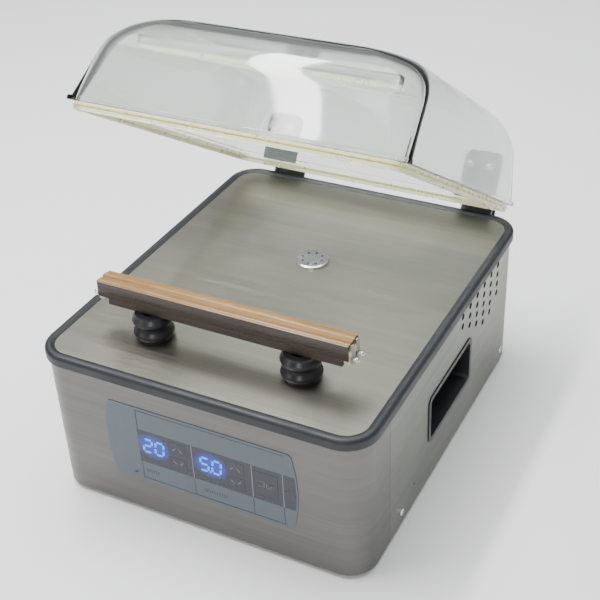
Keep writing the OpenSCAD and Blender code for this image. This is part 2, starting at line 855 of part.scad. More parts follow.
module counter_rail() {
    color(clear) lid_pose() {
        translate([-rail_len / 2, bar_y - 5.5, strip_z + strip_h - 1])
            difference() {
                cube([rail_len, 11, rail_h]);
                translate([-1, 2, -1]) cube([rail_len + 2, 7, 2]);
            }
        for (x = [-90, 0, 90]) translate([x, bar_y + 2, strip_z + strip_h + rail_h - 1 - eps])
            cylinder(r = 3, h = rail_post);
    }
}

module counter_strip() {
    color([0.92, 0.90, 0.82]) lid_pose() {
        translate([-rail_len / 2, bar_y - 3.4, strip_z]) cube([rail_len, 6.8, strip_h]);
    }
}

// ---------- lid hinges on the housing ----------

ear_t = 3;
ear_r = 5.4;
ear_xs = [knuckle_from - 0.5 - ear_t, arm_w / 2 + 1];
foot_w = 12;

module hinge_ear(x, side) {
    difference() {
        union() {
            to_right(x, ear_t) {
                translate([rear_y, hinge_z - ear_r]) square([hinge_y - rear_y, 2 * ear_r]);
                translate([hinge_y, hinge_z]) circle(ear_r);
            }
            translate([side > 0 ? x : x + ear_t - foot_w, rear_y, hinge_z - ear_r - 8])
                cube([foot_w, 2, 2 * ear_r + 8]);
        }
        rod_x(x - 1, hinge_y, hinge_z, pin_r + running, ear_t + 2);
    }
}

module hinge_brackets() {
    color(black) for (m = [0, 1]) mirror([m, 0, 0]) translate([hinge_x, 0, 0]) {
        hinge_ear(ear_xs[0], -1);
        hinge_ear(ear_xs[1], 1);
    }
}

module hinge_pins() {
    color(bright) for (m = [0, 1]) mirror([m, 0, 0])  {
        rod_x(hinge_x + ear_xs[0] - 1.5, hinge_y, hinge_z, pin_r,
              ear_xs[1] - ear_xs[0] + ear_t + 3);
        rod_x(hinge_x + ear_xs[0] - 3, hinge_y, hinge_z, 3.4, 1.8);
    }
}

// torsion spring: fixed leg down the rear panel, coils round the pin, free leg up the arm
coil_r = 4.6;
coil_wire = 0.7;
coil_turns = 3;
coil_x = knuckle_to + 1.4;
coil_pitch = 1.9;
free_leg = 17;
fixed_leg = 12;
free_angle = 162.7 - lid_open;
coil_sweep = 180 - free_angle + 360 * coil_turns;
COIL_STEPS = 66;
WIRE_SIDES = 8;

// point and frame on the coil at turning angle s, or along a straight leg by run
function coil_ring(s, run) =
    let(a = 180 - s, x = coil_x + coil_pitch * s / 360,
        c = [x, coil_r * cos(a) + run * sin(a), coil_r * sin(a) - run * cos(a)],
        n = [0, cos(a), sin(a)])
    [for (k = [0:WIRE_SIDES - 1]) let(b = 360 * k / WIRE_SIDES)
        c + coil_wire * (cos(b) * n + sin(b) * [1, 0, 0])];

module lid_spring() {
    rings = concat([coil_ring(0, -fixed_leg)],
        [for (i = [0:COIL_STEPS]) coil_ring(coil_sweep * i / COIL_STEPS, 0)],
        [coil_ring(coil_sweep, free_leg)]);
    n = WIRE_SIDES;
    m = len(rings);
    polyhedron(
        points = [for (r = rings) each r],
        faces = concat([[for (i = [n - 1:-1:0]) i]],
            [for (j = [0:m - 2], i = [0:n - 1]) let(k = (i + 1) % n)
                [j * n + i, j * n + k, (j + 1) * n + k, (j + 1) * n + i]],
            [[for (i = [0:n - 1]) (m - 1) * n + i]]));
}

module lid_springs() {
    color(bright) for (m = [0, 1]) mirror([m, 0, 0])
        translate([hinge_x, hinge_y, hinge_z]) lid_spring();
}

// ---------- vacuum pump ----------

pump_y = 112;
pump_z = 74;
floor_z = skin_base + tray_t;
motor_x = [-18, 104];
motor_r = 46;
pump_x = [-98, -20];
shaft_r = 6;

module motor_housing() {
    color([0.45, 0.47, 0.50]) difference() {
        union() {
            rod_x(motor_x[0], pump_y, pump_z, motor_r, motor_x[1] - motor_x[0]);
            for (a = [20:20:340])
                translate([motor_x[0] + 12, pump_y, pump_z]) rotate([a, 0, 0])
                    translate([0, -1, motor_r - 1]) cube([motor_x[1] - motor_x[0] - 24, 2, 4]);
            for (x = [motor_x[0] + 20, motor_x[1] - 35])
                translate([x, pump_y - 34, floor_z + 12]) cube([15, 68, 22]);
        }
        rod_x(motor_x[0] + 6, pump_y, pump_z, motor_r - 4, motor_x[1] - motor_x[0] - 12);
        rod_x(motor_x[0] - 1, pump_y, pump_z, shaft_r + running, motor_x[1] - motor_x[0] + 2);
    }
}

cowl_len = 30;
grille_rings = [18, 28, 38];

module fan_cowl() {
    color([0.15, 0.15, 0.16]) difference() {
        rod_x(motor_x[1], pump_y, pump_z, motor_r + 2, cowl_len);
        rod_x(motor_x[1] - 1, pump_y, pump_z, motor_r, cowl_len - 2);
        for (a = [0:30:330], r = grille_rings) translate([0, pump_y, pump_z])
            rotate([a, 0, 0]) rod_x(motor_x[1] + 20, r, 0, 3, 20);
    }
}

module pump_block() {
    color([0.35, 0.38, 0.40]) difference() {
        translate([pump_x[0], pump_y - 42, floor_z + 12]) cube([pump_x[1] - pump_x[0], 84, 96]);
        rod_x(pump_x[0] + 10, pump_y, pump_z, 30, pump_x[1] - pump_x[0] - 20);
        rod_x(pump_x[1] - 12, pump_y, pump_z, shaft_r + running, 14);
        for (z = [floor_z + 92, floor_z + 98])
            translate([pump_x[0] - 1, pump_y - 43, z]) cube([90, 3, 3]);
    }
}

rotor_offset = 5;                         // slots stop short of the shaft
vane_rotor_r = 24;

module pump_rotor() {
    color([0.70, 0.70, 0.72]) {
        rod_x(pump_x[0] + 14, pump_y, pump_z, shaft_r, motor_x[1] + 22 - pump_x[0] - 14);
        difference() {
            rod_x(pump_x[0] + 12, pump_y, pump_z, vane_rotor_r, pump_x[1] - pump_x[0] - 24);
            for (a = [0, 120, 240]) translate([0, pump_y, pump_z]) rotate([a, 0, 0])
                translate([pump_x[0], -1.5, shaft_r + rotor_offset]) cube([90, 3, 30]);
        }
        rod_x(motor_x[0] + 20, pump_y, pump_z, motor_r - 16, motor_x[1] - motor_x[0] - 40);
    }
}

module cooling_fan() {
    color([0.85, 0.85, 0.85]) difference() {
        union() {
            rod_x(motor_x[1] + 4, pump_y, pump_z, 14, 14);
            for (a = [22.5:45:337.5]) translate([motor_x[1] + 5, pump_y, pump_z])
                rotate([a, 0, 0]) translate([0, -1, 12]) cube([12, 2, 30]);
        }
        rod_x(motor_x[1] + 3, pump_y, pump_z, shaft_r + running, 16);
    }
}

module pump_dampers() {
    color(black) {
        for (x = [pump_x[0] + 12, pump_x[1] - 12], y = [pump_y - 30, pump_y + 30])
            translate([x, y, floor_z]) cylinder(r = 9, h = 12);
        for (x = [motor_x[0] + 27.5, motor_x[1] - 27.5], y = [pump_y - 24, pump_y + 24])
            translate([x, y, floor_z]) cylinder(r = 7, h = 12);
    }
}

filter_x = -124;
filter_y = pump_y + 8;
filter_r = 18;

module exhaust_filter() {
    color([0.20, 0.22, 0.24]) {
        translate([filter_x, filter_y, floor_z + 20]) cylinder(r = filter_r, h = 80);
        translate([filter_x, filter_y, floor_z + 100]) cylinder(r1 = filter_r, r2 = 12, h = 8);
        rod_x(filter_x + filter_r - 2, filter_y, floor_z + 60, 8, 10);
    }
}

// hose from the worktop port, down, across and back into the front of the pump
hose_r = 7.5;
hose_wall = 2.2;
hose_bend = 18;
hose_z = [deck_z - 52, deck_z - 18];
hose_x = (pump_x[0] + pump_x[1]) / 2;
pump_front = pump_y - 42;

module hose_section() {
    difference() {
        circle(hose_r);
        circle(hose_r - hose_wall);
    }
}

module hose_elbow() {
    rotate_extrude(angle = 90) translate([hose_bend, 0]) hose_section();
}

module vacuum_hose() {
    color([0.12, 0.12, 0.13]) {
        translate([0, suction_y, hose_z[0] + hose_bend])
            linear_extrude(hose_z[1] - hose_z[0] - hose_bend) hose_section();
        translate([-hose_bend, suction_y, hose_z[0] + hose_bend]) rotate([-90, 0, 0])
            hose_elbow();
        translate([hose_x + hose_bend, suction_y, hose_z[0]]) rotate([0, 90, 0])
            linear_extrude(-hose_x - 2 * hose_bend) hose_section();
        translate([hose_x + hose_bend, suction_y + hose_bend, hose_z[0]]) rotate([0, 0, 180])
            hose_elbow();
        translate([hose_x, suction_y + hose_bend, hose_z[0]]) rotate([-90, 0, 0])
            linear_extrude(pump_front - suction_y - hose_bend) hose_section();
    }
}

// three valves in a row on one block, each with a coil round its plunger
valve_x = [-84, -52, -20];
valve_y = -29;
block_z = [40, 66];
plunger_r = 3.2;
coil_h = 34;
coil_w = 24;

module valve_block() {
    color([0.66, 0.66, 0.68]) difference() {
        union() {
            translate([-100, -46, block_z[0]]) cube([96, 34, block_z[1] - block_z[0]]);
            for (x = [-96, -14]) translate([x, -42, floor_z]) cube([6, 26, 40]);
        }
        for (x = valve_x)
            translate([x, valve_y, block_z[1] - 14]) cylinder(r = plunger_r + running, h = 20);
    }
}

module valve_coils() {
    color([0.12, 0.12, 0.14]) for (x = valve_x) translate([x, valve_y, block_z[1]]) difference() {
        union() {
            translate([-coil_w / 2, -coil_w / 2, 0]) cube([coil_w, coil_w, coil_h - 6]);
            cylinder(r = 7, h = coil_h);
        }
        translate([0, 0, -1]) cylinder(r = plunger_r + running, h = coil_h - 3);
    }
}

module plunger(i) {
    color(bright) translate([valve_x[i], valve_y, block_z[1] - 13]) cylinder(r = plunger_r, h = 36);
}

module plunger_vacuum() { plunger(0); }
module plunger_vent() { plunger(1); }
module plunger_seal() { plunger(2); }

module transformer_core() {
    color([0.50, 0.50, 0.52]) difference() {
        translate([30, -70, floor_z]) cube([76, 40, 64]);
        translate([44, -71, floor_z + 14]) cube([14, 42, 36]);
        translate([78, -71, floor_z + 14]) cube([14, 42, 36]);
    }
}

module transformer_coil() {
    color([0.70, 0.35, 0.12]) difference() {
        translate([44.5, -82, floor_z + 14.5]) cube([47, 64, 35]);
        translate([57.9, -70.1, floor_z + 10]) cube([20.2, 40.2, 50]);
    }
}

frame_y = -11.0;                          // from the housing centre to the footprint centre

module in_frame() {
    translate([0, frame_y, 0]) children();
}

in_frame() {
    bottom_tray();
    rubber_feet();
    foot_screws();
    front_housing();
    side_panel_right();
    side_panel_left();
    rear_panel();
    handle_recess_right();
    handle_recess_left();
    panel_screws();
    worktop();
    edge_trim();
    suction_port();
    control_overlay();
    display_window();
    display_digits();
    control_board();
    power_inlet();
    switch_frame();
    fuse_holder();
    lift_cylinders();
    lift_bellows();
    hinge_brackets();
    hinge_pins();
    lid_springs();
    pump_block();
    motor_housing();
    fan_cowl();
    pump_dampers();
    exhaust_filter();
    vacuum_hose();
    valve_block();
    valve_coils();
    transformer_core();
    transformer_coil();
    lid_dome();
    lid_gasket();
    hinge_plates();
    hinge_arms();
    plate_bolts();
    cap_nuts();
    counter_rail();
    counter_strip();
    bar_channel();
    bar_insulator();
    bar_base();
    bar_terminals();
    heating_wires();
    lift_rods();
    key_time_up();
    key_time_down();
    key_seal_up();
    key_seal_down();
    key_stop();
    rocker_switch();
    pump_rotor();
    cooling_fan();
    plunger_vacuum();
    plunger_vent();
    plunger_seal();
}
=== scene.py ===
import json
import math

import bmesh
import bpy
from mathutils import Matrix, Vector


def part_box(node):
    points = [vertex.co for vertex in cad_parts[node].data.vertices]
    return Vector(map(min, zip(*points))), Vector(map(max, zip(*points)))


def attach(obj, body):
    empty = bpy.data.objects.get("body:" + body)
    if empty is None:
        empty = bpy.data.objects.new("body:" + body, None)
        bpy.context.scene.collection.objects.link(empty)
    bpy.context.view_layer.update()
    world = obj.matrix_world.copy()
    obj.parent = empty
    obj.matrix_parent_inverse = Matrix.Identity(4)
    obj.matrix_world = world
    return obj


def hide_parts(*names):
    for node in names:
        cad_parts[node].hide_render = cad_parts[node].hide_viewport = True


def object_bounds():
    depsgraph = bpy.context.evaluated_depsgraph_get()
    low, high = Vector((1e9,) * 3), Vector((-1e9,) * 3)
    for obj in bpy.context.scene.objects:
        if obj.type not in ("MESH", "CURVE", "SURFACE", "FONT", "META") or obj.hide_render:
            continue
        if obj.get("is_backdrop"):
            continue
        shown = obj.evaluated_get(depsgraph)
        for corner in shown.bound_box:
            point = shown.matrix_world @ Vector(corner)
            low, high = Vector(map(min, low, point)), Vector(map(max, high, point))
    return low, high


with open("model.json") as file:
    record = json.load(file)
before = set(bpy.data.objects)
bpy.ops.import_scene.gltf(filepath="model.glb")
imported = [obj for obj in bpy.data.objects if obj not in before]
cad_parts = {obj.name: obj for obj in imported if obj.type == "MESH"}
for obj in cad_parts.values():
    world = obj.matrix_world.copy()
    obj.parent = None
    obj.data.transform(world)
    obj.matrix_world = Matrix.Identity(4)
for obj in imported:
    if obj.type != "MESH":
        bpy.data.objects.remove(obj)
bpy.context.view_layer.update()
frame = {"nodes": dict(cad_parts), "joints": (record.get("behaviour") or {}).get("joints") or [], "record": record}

# Chamber vacuum sealer. Lengths below are in millimetres and MM turns them into metres.
# Housing places are measured from the worktop's centre; lid pieces are drawn with the lid
# closed and LID turns them to the resting open pose.
MM = 0.001

deck_lo, deck_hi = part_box("worktop")
CENTRE = Vector(((deck_lo.x + deck_hi.x) / 2, (deck_lo.y + deck_hi.y) / 2, 0))

JOINTS = {j["name"]: j for j in frame["joints"]}
hinge = JOINTS["lid_hinge"]
HINGE = Vector(hinge["pos_m"])
OPEN = math.radians(-hinge["range_deg"][0])
LID = (Matrix.Translation(HINGE) @ Matrix.Rotation(OPEN, 4, Vector(hinge["axis"]))
       @ Matrix.Translation(-HINGE))


# ---------------------------------------------------------------- materials

class Look:
    """A Principled material with short calls for its procedural detail."""

    def __init__(self, name, color, rough, **sockets):
        self.mat = bpy.data.materials.new(name)
        self.mat.use_nodes = True
        self.tree = self.mat.node_tree
        self.shader = self.tree.nodes["Principled BSDF"]
        self.shader.inputs["Base Color"].default_value = (*color, 1)
        self.shader.inputs["Roughness"].default_value = rough
        for key, value in sockets.items():
            self.shader.inputs[key.replace("_", " ")].default_value = value
        self.color = color
        self.place = self.node("ShaderNodeTexCoord").outputs["Object"]
        self.normal = None

    def node(self, kind, **props):
        n = self.tree.nodes.new(kind)
        for key, value in props.items():
            setattr(n, key, value)
        return n

    def link(self, source, target):
        self.tree.links.new(source, target)

    def noise(self, scale, detail=3.0, roughness=0.55):
        """Noise at scale cycles per metre: one number, or one for each axis."""
        if not hasattr(scale, "__len__"):
            scale = (scale,) * 3
        stretch = self.node("ShaderNodeVectorMath", operation="MULTIPLY")
        self.link(self.place, stretch.inputs[0])
        stretch.inputs[1].default_value = scale
        n = self.node("ShaderNodeTexNoise")
        self.link(stretch.outputs[0], n.inputs["Vector"])
        n.inputs["Scale"].default_value = 1.0
        n.inputs["Detail"].default_value = detail
        n.inputs["Roughness"].default_value = roughness
        return n.outputs["Fac"]

    def ramp(self, value, low, high, start=0.35, end=0.65):
        n = self.node("ShaderNodeMapRange")
        self.link(value, n.inputs["Value"])
        for key, number in (("From Min", start), ("From Max", end), ("To Min", low),
                            ("To Max", high)):
            n.inputs[key].default_value = number
        return n.outputs[0]

    def sum(self, a, b, how="ADD"):
        n = self.node("ShaderNodeMath", operation=how)
        self.link(a, n.inputs[0])
        if hasattr(b, "links"):
            self.link(b, n.inputs[1])
        else:
            n.inputs[1].default_value = b
        return n.outputs[0]

    def blend(self, factor, other):
        """Mixes another colour over the base colour by a factor socket."""
        n = self.node("ShaderNodeMix", data_type="RGBA")
        self.link(factor, n.inputs["Factor"])
        base = self.shader.inputs["Base Color"]
        if base.links:
            self.link(base.links[0].from_socket, n.inputs["A"])
        else:
            n.inputs["A"].default_value = (*self.color, 1)
        n.inputs["B"].default_value = (*other, 1)
        self.link(n.outputs["Result"], base)
        return self

    def vary(self, factor, low, high):
        """Roughness runs between low and high with a noise."""
        self.link(self.ramp(factor, low, high), self.shader.inputs["Roughness"])
        return self

    def bump(self, height, depth, strength=1.0):
        """Adds relief of the given depth in metres."""
        n = self.node("ShaderNodeBump")
        n.inputs["Distance"].default_value = depth
        n.inputs["Strength"].default_value = strength
        self.link(height, n.inputs["Height"])
        if self.normal is not None:
            self.link(self.normal, n.inputs["Normal"])
        self.normal = n.outputs["Normal"]
        self.link(self.normal, self.shader.inputs["Normal"])
        return self

    def edges(self, other, radius, amount):
        """Another colour on the convex edges of a surface."""
        bevel = self.node("ShaderNodeBevel", samples=4)
        bevel.inputs["Radius"].default_value = radius
        geometry = self.node("ShaderNodeNewGeometry")
        dot = self.node("ShaderNodeVectorMath", operation="DOT_PRODUCT")
        self.link(bevel.outputs[0], dot.inputs[0])
        self.link(geometry.outputs["Normal"], dot.inputs[1])
        return self.blend(self.ramp(dot.outputs["Value"], amount, 0.0, 0.75, 0.98), other)

    def facing(self, axis):
        """The surface normal's part along X, Y or Z, from -1 to 1."""
        geometry = self.node("ShaderNodeNewGeometry")
        split = self.node("ShaderNodeSeparateXYZ")
        self.link(geometry.outputs["Normal"], split.inputs[0])
        return split.outputs[axis]

    def near(self, centre, reach, inner, outer):
        """1 within inner times reach of a point, falling to 0 at outer times reach."""
        shift = self.node("ShaderNodeVectorMath", operation="SUBTRACT")
        self.link(self.place, shift.inputs[0])
        shift.inputs[1].default_value = centre
        scale = self.node("ShaderNodeVectorMath", operation="DIVIDE")
        self.link(shift.outputs[0], scale.inputs[0])
        scale.inputs[1].default_value = reach
        length = self.node("ShaderNodeVectorMath", operation="LENGTH")
        self.link(scale.outputs[0], length.inputs[0])
        return self.ramp(length.outputs["Value"], 1.0, 0.0, inner, outer)

    def tint_in_depth(self, color, density):
        """A clear material darkens towards a colour along the way through it."""
        absorb = self.node("ShaderNodeVolumeAbsorption")
        absorb.inputs["Color"].default_value = (*color, 1)
        absorb.inputs["Density"].default_value = density
        output = next(n for n in self.tree.nodes if n.type == "OUTPUT_MATERIAL")
        self.link(absorb.outputs[0], output.inputs["Volume"])
        return self

    def let_light_through(self, color):
        """Shadow rays pass a clear piece, tinted by color."""
        path = self.node("ShaderNodeLightPath")
        clear = self.node("ShaderNodeBsdfTransparent")
        clear.inputs[0].default_value = (*color, 1)
        mix = self.node("ShaderNodeMixShader")
        self.link(path.outputs["Is Shadow Ray"], mix.inputs[0])
        self.link(self.shader.outputs[0], mix.inputs[1])
        self.link(clear.outputs[0], mix.inputs[2])
        output = next(n for n in self.tree.nodes if n.type == "OUTPUT_MATERIAL")
        self.link(mix.outputs[0], output.inputs["Surface"])
        return self


def brushed(name, color, rough, grain, smudge=0.08):
    """Brushed sheet metal; grain holds cycles per metre along each axis, low along the grain."""
    look = Look(name, color, rough, Metallic=1.0)
    lines = look.noise(grain, 4.0, 0.7)
    broad = look.noise([g * 0.12 if g > 100 else g * 0.5 for g in grain], 2.0)
    cloud = look.noise(7.0, 3.0)
    darker = [c * 0.74 for c in color]
    lighter = [min(1.0, c * 1.2) for c in color]
    look.blend(look.ramp(lines, 0.0, 0.5), darker)
    look.blend(look.ramp(broad, 0.0, 0.35, 0.4, 0.7), lighter)
    look.blend(look.ramp(cloud, 0.0, smudge * 4, 0.45, 0.75), [c * 0.86 for c in color])
    both = look.sum(look.sum(lines, 0.6, "MULTIPLY"), look.sum(cloud, 0.4, "MULTIPLY"))
    look.vary(both, rough - 0.08, rough + 0.10)
    look.bump(lines, 0.00004, 0.55)
    return look


def moulded(name, color, rough, grain=1400.0, depth=0.00006):
    """Moulded plastic or rubber with a fine eroded texture and faint handling marks."""
    look = Look(name, color, rough)
    fine = look.noise(grain, 2.0)
    cloud = look.noise(22.0, 4.0, 0.6)
    look.blend(look.ramp(cloud, 0.0, 0.5, 0.42, 0.7), [min(1, c * 1.35 + 0.004) for c in color])
    look.vary(cloud, rough - 0.06, rough + 0.09)
    look.bump(fine, depth, 0.4)
    return look


def plated(name, color, rough):
    """Plated or turned metal with fine tool marks and dull patches."""
    look = Look(name, color, rough, Metallic=1.0)
    marks = look.noise(2600.0, 2.0)
    patch = look.noise(90.0, 3.0)
    look.blend(look.ramp(patch, 0.0, 0.5), [c * 0.72 for c in color])
    look.vary(patch, max(0.02, rough - 0.05), rough + 0.14)
    look.bump(marks, 0.00002, 0.3)
    return look


# sheet metal: grain along X on top, around the housing on the walls
deck_steel = brushed("deck_steel", (0.285, 0.280, 0.240), 0.36, (7, 900, 900))
# the front and the side panels are one steel given two base tones: painted shade, each tone stands for the light
# that falls on that face
front_steel = brushed("front_steel", (0.155, 0.152, 0.147), 0.38, (9, 9, 1100))
side_steel = brushed("side_steel", (0.178, 0.184, 0.162), 0.36, (9, 9, 1100))
tray_steel = brushed("tray_steel", (0.36, 0.36, 0.35), 0.42, (1000, 9, 9))
bracket_steel = brushed("bracket_steel", (0.15, 0.155, 0.155), 0.48, (1200, 40, 40), 0.12)
plate_chrome = plated("plate_chrome", (0.82, 0.82, 0.82), 0.12)
dull_steel = plated("dull_steel", (0.48, 0.47, 0.45), 0.30)
spring_steel = plated("spring_steel", (0.42, 0.42, 0.43), 0.26)
cast_alloy = plated("cast_alloy", (0.35, 0.37, 0.40), 0.52)
cylinder_alloy = plated("cylinder_alloy", (0.52, 0.53, 0.55), 0.36)
element_alloy = plated("element_alloy", (0.40, 0.36, 0.32), 0.34)

trim_rubber = moulded("trim_rubber", (0.007, 0.009, 0.013), 0.50, 900.0, 0.00010)
# painted highlight: the trim's convex edges are lighter, where its rounded bead catches the light
trim_rubber.edges((0.028, 0.033, 0.042), 0.0012, 0.12)
black_rubber = moulded("black_rubber", (0.012, 0.012, 0.014), 0.34, 700.0)
foot_rubber = moulded("foot_rubber", (0.014, 0.014, 0.015), 0.62, 600.0, 0.00012)
black_plastic = moulded("black_plastic", (0.016, 0.016, 0.020), 0.42, 1500.0, 0.00010)
satin_paint = moulded("satin_paint", (0.013, 0.013, 0.013), 0.36, 1900.0)
satin_paint.edges((0.16, 0.16, 0.16), 0.0006, 0.35)
motor_paint = moulded("motor_paint", (0.10, 0.12, 0.15), 0.40, 800.0)
core_paint = moulded("core_paint", (0.09, 0.09, 0.10), 0.5, 700.0)
fan_plastic = moulded("fan_plastic", (0.62, 0.62, 0.58), 0.38)
coil_tape = moulded("coil_tape", (0.48, 0.24, 0.05), 0.34, 500.0)
cream_block = moulded("cream_block", (0.62, 0.58, 0.42), 0.55, 900.0, 0.00012)
base_brown = moulded("base_brown", (0.050, 0.034, 0.026), 0.44, 800.0)
board_green = moulded("board_green", (0.02, 0.10, 0.045), 0.30, 2500.0)
rocker_red = moulded("rocker_red", (0.42, 0.02, 0.015), 0.22, 1500.0, 0.00003)

film = moulded("overlay_film", (0.072, 0.092, 0.112), 0.38, 1800.0, 0.00004)
band_film = moulded("band_film", (0.020, 0.021, 0.032), 0.34, 1800.0, 0.00002)
print_dark = moulded("print_dark", (0.016, 0.022, 0.032), 0.40, 1800.0, 0.00002)
print_light = moulded("print_light", (0.17, 0.18, 0.22), 0.40, 1800.0, 0.00002)
print_stop = moulded("print_stop", (0.13, 0.135, 0.16), 0.40, 1800.0, 0.00002)

# the display window glows blue around each group of lit digits
GLOW_REACH = (0.0165, 1.0, 0.0125)
window_film = moulded("window_film", (0.020, 0.021, 0.032), 0.30, 1800.0, 0.00002)
window_film.shader.inputs["Emission Color"].default_value = (0.004, 0.045, 1.0, 1)
digit_xs = sorted(v.co.x for v in frame["nodes"]["display_digits"].data.vertices)
gap = max(range(1, len(digit_xs)), key=lambda i: digit_xs[i] - digit_xs[i - 1])
digits_lo, digits_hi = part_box("display_digits")
glow = None
for group in (digit_xs[:gap], digit_xs[gap:]):
    middle = ((group[0] + group[-1]) / 2, digits_lo.y, (digits_lo.z + digits_hi.z) / 2)
    spot = window_film.near(middle, GLOW_REACH, 0.55, 1.15)
    glow = spot if glow is None else window_film.sum(glow, spot)
window_film.link(window_film.sum(glow, 0.55, "MULTIPLY"),
                 window_film.shader.inputs["Emission Strength"])

# glass-cloth tape: a fine square weave, rubbed streaks along the bar, dark burn marks
tape = Look("bar_tape", (0.21, 0.105, 0.030), 0.36, Coat_Weight=0.10, Coat_Roughness=0.12)
weave = tape.sum(tape.noise((1700, 90, 90), 1.0), tape.noise((90, 1700, 1700), 1.0))
streak = tape.noise((10, 260, 260), 3.0, 0.6)
scorch = tape.noise((34, 60, 60), 3.0, 0.6)
tape.blend(tape.ramp(streak, 0.0, 0.6), (0.33, 0.20, 0.080))
tape.blend(tape.ramp(scorch, 0.0, 0.45, 0.52, 0.74), (0.15, 0.072, 0.022))
# painted shade: the bar's faces that turn away from the top, its sides and underside, darken to a deep brown
tape.blend(tape.ramp(tape.facing("Z"), 1.0, 0.0, 0.35, 0.75), (0.030, 0.018, 0.012))
tape.vary(streak, 0.22, 0.42)
tape.bump(weave, 0.00010, 0.35).bump(streak, 0.00012, 0.35)

# thick clear acrylic with slight surface waves and a faint green cast in depth
acrylic = Look("clear_acrylic", (0.80, 0.825, 0.81), 0.03, IOR=1.40,
               Transmission_Weight=1.0)
acrylic.vary(acrylic.noise(30.0, 4.0), 0.015, 0.06)
acrylic.bump(acrylic.noise((9, 9, 16), 1.5, 0.4), 0.0022, 0.35)
acrylic.tint_in_depth((0.66, 0.72, 0.50), 4.0)
acrylic.let_light_through((0.93, 0.95, 0.94))

silicone = Look("pale_silicone", (0.80, 0.81, 0.62), 0.30, Transmission_Weight=0.6,
                IOR=1.41, Subsurface_Weight=0.2, Subsurface_Scale=0.006,
                Subsurface_Radius=(1.0, 0.9, 0.5))
silicone.blend(silicone.ramp(silicone.noise(9.0, 3.0), 0.0, 0.4), (0.84, 0.84, 0.70))
silicone.vary(silicone.noise(60.0), 0.24, 0.40)
silicone.bump(silicone.noise(800.0, 2.0), 0.00008, 0.3)
silicone.let_light_through((0.60, 0.58, 0.44))

# painted light: this amber colour stands for the glow of light passing through the gasket's edge
amber = Look("amber_painted_glow", (0.62, 0.44, 0.16), 0.28, Transmission_Weight=0.3, IOR=1.41,
             Subsurface_Weight=0.3, Subsurface_Scale=0.004,
             Subsurface_Radius=(1.0, 0.7, 0.3))
amber.blend(amber.ramp(amber.noise(30.0, 3.0), 0.0, 0.6), (0.70, 0.56, 0.30))
amber.vary(amber.noise(90.0), 0.22, 0.40)
amber.bump(amber.noise(700.0, 2.0), 0.00006, 0.3)

digit_glow = Look("digit_glow", (0.02, 0.12, 0.5), 0.3, Emission_Color=(0.002, 0.26, 1.0, 1))
digit_glow.link(digit_glow.ramp(digit_glow.noise(400.0), 1.9, 2.5),
                digit_glow.shader.inputs["Emission Strength"])

CAD_LOOKS = [
    (deck_steel, ["worktop"]),
    (front_steel, ["front_housing"]),
    (side_steel, ["side_panel_right", "side_panel_left", "rear_panel"]),
    (tray_steel, ["bottom_tray"]),
    (bracket_steel, ["hinge_plates"]),
    (plate_chrome, ["panel_screws", "suction_port", "cap_nuts", "plate_bolts", "hinge_pins",
                    "bar_terminals", "lift_rods", "foot_screws"]),
    (dull_steel, ["plunger_vacuum", "plunger_vent", "plunger_seal", "pump_rotor"]),
    (spring_steel, ["lid_springs"]),
    (cast_alloy, ["pump_block"]),
    (cylinder_alloy, ["lift_cylinders", "valve_block"]),
    (element_alloy, ["heating_wires"]),
    (trim_rubber, ["edge_trim"]),
    (black_rubber, ["lift_bellows", "vacuum_hose", "pump_dampers"]),
    (foot_rubber, ["rubber_feet"]),
    (black_plastic, ["handle_recess_right", "handle_recess_left", "switch_frame",
                     "fuse_holder", "power_inlet", "fan_cowl", "exhaust_filter",
                     "valve_coils"]),
    (satin_paint, ["hinge_arms", "hinge_brackets"]),
    (motor_paint, ["motor_housing"]),
    (core_paint, ["transformer_core"]),
    (coil_tape, ["transformer_coil"]),
    (fan_plastic, ["cooling_fan"]),
    (cream_block, ["bar_insulator"]),
    (base_brown, ["bar_base"]),
    (board_green, ["control_board"]),
    (rocker_red, ["rocker_switch"]),
    (film, ["control_overlay"]),
    (window_film, ["display_window"]),
    (band_film, ["key_time_up", "key_time_down", "key_seal_up", "key_seal_down", "key_stop"]),
    (digit_glow, ["display_digits"]),
    (acrylic, ["lid_dome", "counter_rail"]),
    (silicone, ["lid_gasket", "counter_strip"]),
    (tape, ["bar_channel"]),
]
for look, names in CAD_LOOKS:
    for name in names:
        for slot in frame["nodes"][name].material_slots:
            slot.material = look.mat
dressed = {name for look, names in CAD_LOOKS for name in names}
assert dressed == set(frame["nodes"]), set(frame["nodes"]) ^ dressed

# pressed and moulded CAD parts get eased edges
EASED = {"hinge_plates": 0.6, "hinge_arms": 0.5, "hinge_brackets": 0.5, "bar_insulator": 0.5,
         "bar_base": 0.6, "handle_recess_right": 0.8, "handle_recess_left": 0.8,
         "rocker_switch": 0.6, "switch_frame": 0.5, "fuse_holder": 0.5}
for name, width in EASED.items():
    node = frame["nodes"][name]
    weld = node.modifiers.new("weld", "WELD")
    weld.merge_threshold = 1e-6
    ease = node.modifiers.new("ease", "BEVEL")
    ease.width = width * MM
    ease.segments = 3
    ease.limit_method = "ANGLE"
    ease.angle_limit = math.radians(40)


# ---------------------------------------------------------------- mesh helpers

def piece(name, verts, faces, look, body, slot, smooth=30, place=None):
    """A new piece from vertices in mm; place is its matrix, or the housing's centre."""
    mesh = bpy.data.meshes.new(name)
    to_frame = place if place is not None else Matrix.Translation(CENTRE)
    mesh.from_pydata([to_frame @ (Vector(v) * MM) for v in verts], [], faces)
    bm = bmesh.new()
    bm.from_mesh(mesh)
    bmesh.ops.remove_doubles(bm, verts=bm.verts, dist=1e-6)
    bmesh.ops.recalc_face_normals(bm, faces=bm.faces)
    for face in bm.faces:
        face.smooth = True
    for edge in bm.edges:
        if len(edge.link_faces) == 2 and edge.calc_face_angle() > math.radians(smooth):
            edge.smooth = False
    bm.to_mesh(mesh)
    bm.free()
    mesh.materials.append(look.mat)
    obj = bpy.data.objects.new(name, mesh)
    bpy.context.scene.collection.objects.link(obj)
    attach(obj, body)
    return obj


